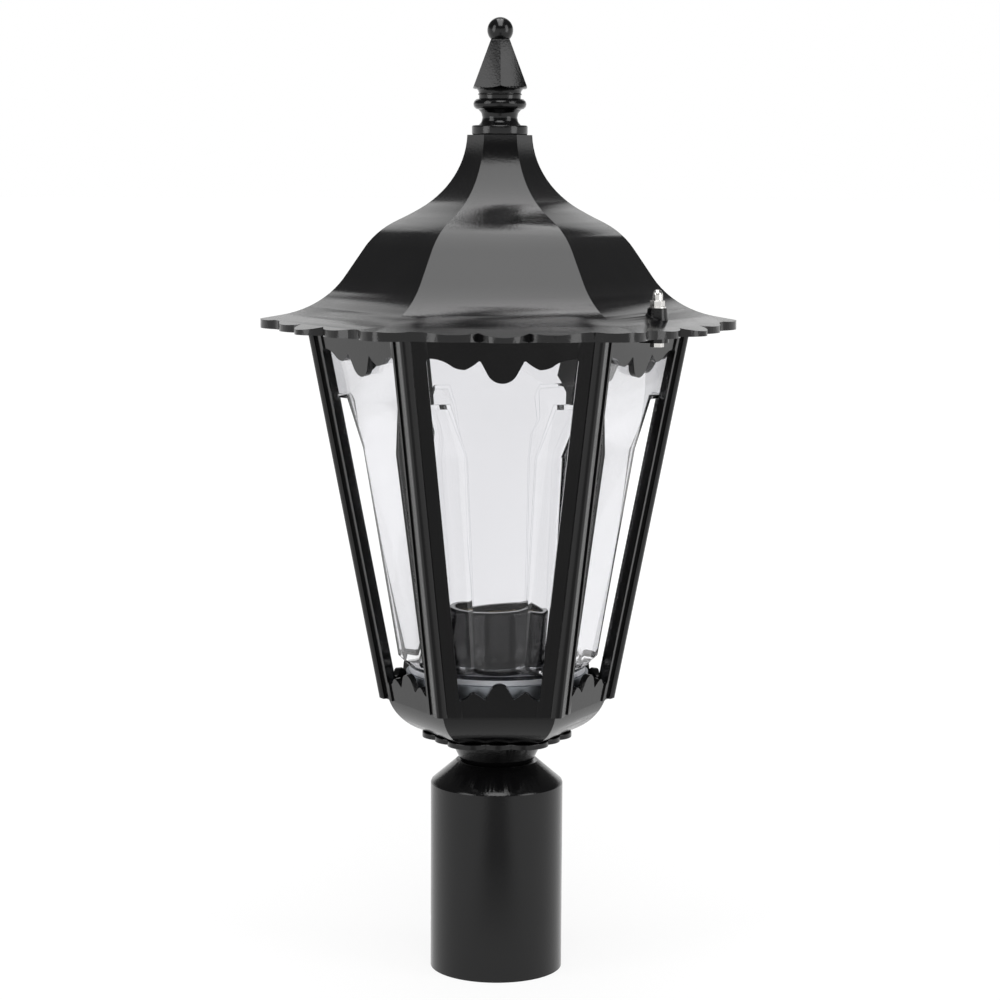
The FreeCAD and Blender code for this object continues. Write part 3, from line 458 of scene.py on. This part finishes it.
def round_inner_corners(mesh):
    """Shades the inner side of the insert's corner faces as if they were rounded, which they are in the
    moulding: there its wall is thicker in the middle, so the corner bars do not show through it."""
    normals = shading(mesh)
    for face in mesh.polygons:
        across = Vector((face.normal.x, face.normal.y, 0))
        out = Vector((face.center.x, face.center.y, 0))
        if across.length < UPRIGHT or out.length < WALL_REACH or across.dot(out) > 0:
            continue
        corner = level_way(SIDE * round(math.degrees(math.atan2(out.y, out.x)) / SIDE))
        if across.normalized().dot(corner) > -CORNER_FACING:
            continue
        for loop in face.loop_indices:
            place = mesh.vertices[mesh.loops[loop].vertex_index].co
            hand = math.copysign(1, corner.x * place.y - corner.y * place.x)
            normals[loop] = turned(face.normal, hand * CORNER_ROUND)
    mesh.normals_split_custom_set(normals)


def soften_shoulders(mesh):
    """Shades the small level shoulders over the insert's corner faces as parts of its upright wall, into
    which they melt in the moulding."""
    low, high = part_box("clear_insert")
    normals = shading(mesh)
    for face in mesh.polygons:
        inside = low.z + SHOULDER_RISE < face.center.z < high.z - SHOULDER_DROP
        if inside and abs(face.normal.z) > UPRIGHT:
            out = Vector((face.center.x, face.center.y, 0)).normalized()
            for loop in face.loop_indices:
                normals[loop] = out * math.copysign(1, -face.normal.z)
    mesh.normals_split_custom_set(normals)


def finished_insert():
    mesh = eased(smooth_shape("clear_insert"), INSERT_EASE)
    remove_slivers(mesh)
    mark_shaded_creases(mesh)
    round_inner_corners(mesh)
    soften_shoulders(mesh)
    return show("clear_insert_finished", mesh, "clear_insert")


# ---------------------------------------------------------------------------
# Threaded pieces
# ---------------------------------------------------------------------------
THREAD_SIZES = ("Radius", "Bore", "Depth", "Follow", "Pitch", "Length")
THREAD_COUNTS = ("Around", "Rungs")
THREAD_AROUND = 48              # faces round a thread, and rungs of faces up one turn of it
THREAD_RUNGS = 6
THREAD_WELD = 0.001 * MM
THREAD_SHARP = 50.0             # degrees; edges that turn more stay sharp in the shading

TUBE_BORE = 3.6 * MM
TUBE_PITCH = 1.0 * MM
TUBE_THREAD_DEPTH = 0.5 * MM
STUD_PITCH = 1.25 * MM
STUD_THREAD_DEPTH = 0.6 * MM
LAMP_PITCH = 3.63 * MM
LAMP_THREAD_DEPTH = 1.0 * MM
SHELL_AROUND = 96               # the same for the lamp's thread, which is larger
SHELL_RUNGS = 14
SHELL_SHEET = 0.6 * MM
SHELL_RING_RIM = 1.1 * MM       # the ring at the shell's foot: its rim and its hole, both measured in
SHELL_RING_HOLE = 6.9 * MM      # from the outside of the thread


def thread_tree():
    """Geometry nodes for a rod or tube with a thread. A grid is rolled up: its rows climb the outside and
    come back down the bore. Follow is 1 where the bore has the thread too, as in a rolled shell."""
    tree = bpy.data.node_groups.new("threaded rod", "GeometryNodeTree")
    nodes, links = tree.nodes, tree.links
    maths = partial(combined, nodes, links)
    tree.interface.new_socket("Geometry", in_out="OUTPUT", socket_type="NodeSocketGeometry")
    for name in THREAD_SIZES:
        tree.interface.new_socket(name, in_out="INPUT", socket_type="NodeSocketFloat")
    for name in THREAD_COUNTS:
        tree.interface.new_socket(name, in_out="INPUT", socket_type="NodeSocketInt")
    tree.interface.new_socket("Place", in_out="INPUT", socket_type="NodeSocketVector")
    tree.interface.new_socket("Material", in_out="INPUT", socket_type="NodeSocketMaterial")
    given = nodes.new("NodeGroupInput").outputs

    rungs = given["Rungs"]
    rows = maths("MULTIPLY_ADD", rungs, 2, 2)
    grid = add_node(nodes, "GeometryNodeMeshGrid", Size_X=1.0)
    links.new(rows, grid.inputs["Size Y"])
    links.new(maths("ADD", given["Around"], 1), grid.inputs["Vertices X"])
    links.new(maths("ADD", rows, 1), grid.inputs["Vertices Y"])

    flat = split_up(nodes, links, nodes.new("GeometryNodeInputPosition").outputs[0])
    turn = maths("ADD", flat["X"], 0.5)
    row = flat["Y"]
    half = maths("MULTIPLY", rungs, 0.5)
    from_bore = maths("ABSOLUTE", maths("SUBTRACT", row, half))
    in_bore = maths("LESS_THAN", from_bore, maths("ADD", half, 0.5))
    up = maths("ADD", maths("ADD", row, rungs), 1)
    climb = maths("MINIMUM", up, maths("SUBTRACT", rungs, row))
    share = maths("DIVIDE", maths("MAXIMUM", climb, 0), rungs)
    height = maths("MULTIPLY", share, given["Length"])

    phase = maths("SUBTRACT", maths("DIVIDE", height, given["Pitch"]), turn)
    wave = maths("COSINE", maths("MULTIPLY", phase, math.tau))
    dip = maths("MULTIPLY", maths("MULTIPLY_ADD", wave, -0.5, 0.5), given["Depth"])
    outside = maths("SUBTRACT", given["Radius"], dip)
    inside = maths("SUBTRACT", given["Bore"], maths("MULTIPLY", dip, given["Follow"]))
    reach = maths("MULTIPLY_ADD", maths("SUBTRACT", inside, outside), in_bore, outside)
    angle = maths("MULTIPLY", turn, math.tau)

    rolled = nodes.new("ShaderNodeCombineXYZ")
    links.new(maths("MULTIPLY", maths("COSINE", angle), reach), rolled.inputs["X"])
    links.new(maths("MULTIPLY", maths("SINE", angle), reach), rolled.inputs["Y"])
    links.new(height, rolled.inputs["Z"])
    moved = nodes.new("ShaderNodeVectorMath")
    links.new(rolled.outputs[0], moved.inputs[0])
    links.new(given["Place"], moved.inputs[1])
    shape = nodes.new("GeometryNodeSetPosition")
    links.new(grid.outputs["Mesh"], shape.inputs["Geometry"])
    links.new(moved.outputs[0], shape.inputs["Position"])
    joined = add_node(nodes, "GeometryNodeMergeByDistance", Distance=THREAD_WELD)
    links.new(shape.outputs[0], joined.inputs["Geometry"])
    real = nodes.new("GeometryNodeRealizeInstances")
    links.new(joined.outputs[0], real.inputs[0])
    coloured = nodes.new("GeometryNodeSetMaterial")
    links.new(real.outputs[0], coloured.inputs["Geometry"])
    links.new(given["Material"], coloured.inputs["Material"])
    links.new(coloured.outputs[0], nodes.new("NodeGroupOutput").inputs[0])
    return tree


THREAD_TREE = thread_tree()


def smooth_thread(mesh):
    """Shades a threaded mesh smooth but for its sharp edges."""
    mesh.shade_smooth()
    mesh.set_sharp_from_angle(angle=math.radians(THREAD_SHARP))


def drop_loose_edges(mesh):
    """Takes out the edges without a face that a bore of no width leaves along the axis."""
    shape = bmesh.new()
    shape.from_mesh(mesh)
    bmesh.ops.delete(shape, geom=[edge for edge in shape.edges if not edge.link_faces], context="EDGES")
    shape.to_mesh(mesh)
    shape.free()


def threaded(place, material, around=THREAD_AROUND, rungs_a_turn=THREAD_RUNGS, **sizes):
    """The mesh of one rod or tube that stands on the given place; without a depth it is plain."""
    holder = bpy.data.objects.new("threaded rod", bpy.data.meshes.new("threaded rod"))
    scene.collection.objects.link(holder)
    maker = holder.modifiers.new("threaded rod", "NODES")
    maker.node_group = THREAD_TREE
    rungs = round(sizes["Length"] / sizes["Pitch"] * rungs_a_turn) if "Depth" in sizes else 1
    values = {"Bore": 0.0, "Depth": 0.0, "Follow": 0.0, "Pitch": MM, **sizes, "Around": around,
              "Rungs": rungs, "Place": place, "Material": material}
    for socket in THREAD_TREE.interface.items_tree:
        if socket.in_out == "INPUT":
            maker[socket.identifier] = values[socket.name]
    depsgraph = bpy.context.evaluated_depsgraph_get()
    mesh = bpy.data.meshes.new_from_object(holder.evaluated_get(depsgraph))
    bpy.data.objects.remove(holder)
    drop_loose_edges(mesh)
    smooth_thread(mesh)
    return mesh


def finished_tube():
    """The hollow threaded tube, with its fine thread from end to end."""
    low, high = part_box("threaded_tube")
    mesh = threaded((0, 0, low.z), MATERIALS["zinc_steel"], Radius=high.x, Bore=TUBE_BORE,
                    Depth=TUBE_THREAD_DEPTH, Pitch=TUBE_PITCH, Length=high.z - low.z)
    return show("threaded_tube_finished", mesh, "threaded_tube")


def finished_stud():
    """The stud that draws the finial down on the roof, threaded from end to end."""
    low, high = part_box("finial_stud")
    mesh = threaded((0, 0, low.z), MATERIALS["zinc_steel"], Radius=high.x, Depth=STUD_THREAD_DEPTH,
                    Pitch=STUD_PITCH, Length=high.z - low.z)
    return show("finial_stud_finished", mesh, "finial_stud")


def finished_screw_shell():
    """The lamp's screw shell: sheet rolled to a round thread, standing on a flat ring."""
    low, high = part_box("holder_screw_shell")
    foot = (0, 0, low.z)
    coat = MATERIALS["nickel_brass"]
    wall = threaded(foot, coat, SHELL_AROUND, SHELL_RUNGS, Radius=high.x, Bore=high.x - SHELL_SHEET,
                    Depth=LAMP_THREAD_DEPTH, Follow=1.0, Pitch=LAMP_PITCH, Length=high.z - low.z)
    ring = threaded(foot, coat, SHELL_AROUND, Radius=high.x - SHELL_RING_RIM, Bore=high.x - SHELL_RING_HOLE,
                    Length=SHELL_SHEET)
    shape = bmesh.new()
    shape.from_mesh(wall)
    shape.from_mesh(ring)
    shell = bpy.data.meshes.new("screw shell")
    shape.to_mesh(shell)
    shape.free()
    smooth_thread(shell)
    return show("holder_screw_shell_finished", shell, "holder_screw_shell")


# ---------------------------------------------------------------------------
# Floor, backdrop and light
# ---------------------------------------------------------------------------
WHITE = (1, 1, 1, 1)
FLOOR_REACH = 30.0
FLOOR_SHADE = (0.15, 0.15, 0.15, 1)     # what the lamps light of the floor
FLOOR_ROUGHNESS = 0.9
FLOOR_GLOW = 0.86               # under the lantern
FAR_GLOW = 1.0                  # and far from it, where the lamps no longer reach
GLOW_NEAR = 0.4
GLOW_FAR = 1.9
PAINTED_SHADOW_GLOW = 0.24               # in the painted soft shadow on the floor before the lantern, which nothing casts
SHADOW_START = (0.07, 0.32)     # distances before the lantern over which it comes up and dies out
SHADOW_END = (0.90, 1.50)
SHADOW_WIDTH = 0.14             # half its width at the lantern, and what it widens by in a metre
SHADOW_SPREAD = 0.17
SHADOW_CORE = 0.25              # the share of its width that is evenly dark
BACKDROP_TOP = 0.09             # sine of the elevation at which the backdrop begins to fade
CEILING_FOOT = 0.26             # and at which it has become the ceiling
CEILING_LEVEL = 0.12
SCREEN_EDGE = 0.47              # the white screen behind: its side edges, over the distance back
SCREEN_BLUR = 0.06
SCREEN_TOP = 0.62               # sine of the elevation of its top
SCREEN_NEAREST = 0.001          # keeps what is beside or before the lantern off the screen
LIT_HEIGHT = 0.3
# name, azimuth, lowest and highest elevation, shift to the side, distance, width, brightness
SOFTBOXES = (
    ("overhead softbox", 0, 40, 104, 0, 1.7, 1.0, 4.9),
    ("rear left softbox", 0, 104, 118, -0.27, 1.7, 0.34, 4.6),
    ("rear right softbox", 0, 104, 118, 0.23, 1.7, 0.34, 4.6),
    ("left softbox", -60, -8, 40, 0, 2.0, 0.9, 3.2),
    ("right softbox", 60, -8, 40, 0, 2.0, 0.9, 3.2),
)


def seen_ray(nodes, links):
    """1 for the rays that look at a thing, directly or by way of metal and glass."""
    ray = nodes.new("ShaderNodeLightPath").outputs
    seen = combined(nodes, links, "MAXIMUM", ray["Is Camera Ray"], ray["Is Glossy Ray"])
    return combined(nodes, links, "MAXIMUM", seen, ray["Is Transmission Ray"])


def painted_front_shadow(nodes, links, place):
    """1 in the long painted shadow on the floor before the lantern, which nothing casts, fading at its edges.
    """
    maths = partial(combined, nodes, links)
    step = partial(stepped, nodes, links)
    split = split_up(nodes, links, place)
    ahead = maths("MULTIPLY", split["Y"], -1)
    half = maths("MULTIPLY_ADD", ahead, SHADOW_SPREAD, SHADOW_WIDTH)
    aside = maths("DIVIDE", maths("ABSOLUTE", split["X"]), half)
    core = step(aside, SHADOW_CORE, 1.0, 1.0, 0.0)
    begun = step(ahead, *SHADOW_START)
    left = step(ahead, *SHADOW_END, 1.0, 0.0)
    return maths("MULTIPLY", core, maths("MULTIPLY", begun, left))


def add_floor():
    """A wide white floor; what looks at it sees it white, apart from the lantern's cast shadows and the long
    painted shadow before it.
    """
    mesh = bpy.data.meshes.new("floor")
    corners = [(x * FLOOR_REACH, y * FLOOR_REACH, 0) for x, y in ((-1, -1), (1, -1), (1, 1), (-1, 1))]
    mesh.from_pydata(corners, [], [(0, 1, 2, 3)])
    floor = bpy.data.objects.new("floor", mesh)
    scene.collection.objects.link(floor)
    material, nodes, links, shader = new_material("floor")
    maths = partial(combined, nodes, links)
    shader.inputs["Base Color"].default_value = FLOOR_SHADE
    shader.inputs["Roughness"].default_value = FLOOR_ROUGHNESS
    shader.inputs["Specular IOR Level"].default_value = 0.0
    shader.inputs["Emission Color"].default_value = WHITE
    place = nodes.new("ShaderNodeTexCoord").outputs["Object"]
    distance = nodes.new("ShaderNodeVectorMath")
    distance.operation = "LENGTH"
    links.new(place, distance.inputs[0])
    away = distance.outputs["Value"]
    level = ranged(nodes, links, away, GLOW_NEAR, GLOW_FAR, FLOOR_GLOW, FAR_GLOW)
    # painted shadow: the floor's glow drops in a patch before the lantern that nothing casts
    painted_shadow_loss = maths("MULTIPLY", painted_front_shadow(nodes, links, place), maths("SUBTRACT", level, PAINTED_SHADOW_GLOW))
    glow = maths("SUBTRACT", level, painted_shadow_loss)
    links.new(maths("MULTIPLY", seen_ray(nodes, links), glow), shader.inputs["Emission Strength"])
    mesh.materials.append(material)


def add_world():
    """A pale backdrop all round up to just above the horizon, a dim ceiling over it, and a tall white
    screen behind the lantern."""
    world = bpy.data.worlds.new("studio")
    scene.world = world
    world.use_nodes = True
    nodes, links = world.node_tree.nodes, world.node_tree.links
    maths = partial(combined, nodes, links)
    step = partial(stepped, nodes, links)
    way = split_up(nodes, links, nodes.new("ShaderNodeTexCoord").outputs["Generated"])
    backdrop = step(way["Z"], BACKDROP_TOP, CEILING_FOOT, 1.0, CEILING_LEVEL)
    back = maths("MAXIMUM", way["Y"], SCREEN_NEAREST)
    aside = maths("DIVIDE", maths("ABSOLUTE", way["X"]), back)
    across = step(aside, SCREEN_EDGE - SCREEN_BLUR, SCREEN_EDGE + SCREEN_BLUR, 1.0, 0.0)
    below = step(way["Z"], SCREEN_TOP - SCREEN_BLUR, SCREEN_TOP + SCREEN_BLUR, 1.0, 0.0)
    background = nodes["Background"]
    background.inputs["Color"].default_value = WHITE
    level = maths("MAXIMUM", backdrop, maths("MULTIPLY", across, below))
    links.new(level, background.inputs["Strength"])


def add_softbox(name, turn, low, high, shift, away, width, level):
    """A rectangular lamp that faces the lantern: it stands at the azimuth "turn" from the front, and
    reaches from the elevation "low" to the elevation "high", all in degrees; level is its brightness."""
    middle = math.radians((low + high) / 2)
    height = 2 * away * math.tan(math.radians((high - low) / 2))
    data = bpy.data.lights.new(name, "AREA")
    data.shape = "RECTANGLE"
    data.size = width
    data.size_y = height
    data.energy = level * math.pi * width * height
    lamp = bpy.data.objects.new(name, data)
    side = math.radians(turn)
    out = Vector((math.sin(side) * math.cos(middle), -math.cos(side) * math.cos(middle), math.sin(middle)))
    sideways = Vector((math.cos(side), math.sin(side), 0)) * shift
    lamp.location = Vector((0, 0, LIT_HEIGHT)) + out * away + sideways
    lamp.rotation_euler = out.to_track_quat("Z", "Y").to_euler()
    scene.collection.objects.link(lamp)


# ---------------------------------------------------------------------------
# The lantern in its studio
# ---------------------------------------------------------------------------
for name, node in frame["nodes"].items():
    node.data.materials.clear()
    node.data.materials.append(MATERIALS[SLOT_OF[name]])

for name, ease in EASED_EDGES:
    finished(name, ease * MM)
finished_cage()
finished_insert()
finished_tube()
finished_stud()
finished_screw_shell()

add_floor()
add_world()
for softbox in SOFTBOXES:
    add_softbox(*softbox)
add_camera()
